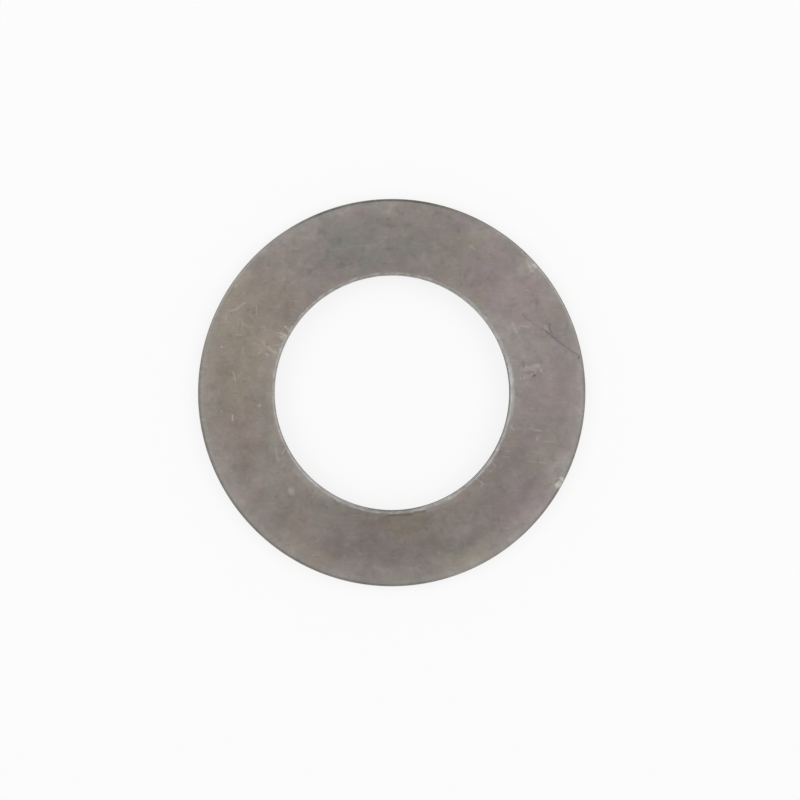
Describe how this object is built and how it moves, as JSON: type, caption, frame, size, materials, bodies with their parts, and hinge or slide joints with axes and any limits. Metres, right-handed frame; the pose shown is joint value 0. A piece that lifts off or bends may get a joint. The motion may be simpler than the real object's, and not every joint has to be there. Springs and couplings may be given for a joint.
{
  "type": "conical washer",
  "caption": "Conical spring washer: a shallow coned steel ring that presses back along the shaft or bolt through its bore.",
  "frame": {"origin": "on the washer's axis, in the plane that its outer edge rests on", "axes": "+Z along the axis, from the rim that it rests on towards the raised edge of the bore; seen from above, +X is right and +Y is up as in the picture"},
  "size_m": [0.042, 0.042, 0.0026],
  "materials": {
    "spring_steel": "satin, tumbled and lightly scratched"
  },
  "bodies": {
    "root": {"conical_washer": "spring_steel"}
  },
  "joints": []
}
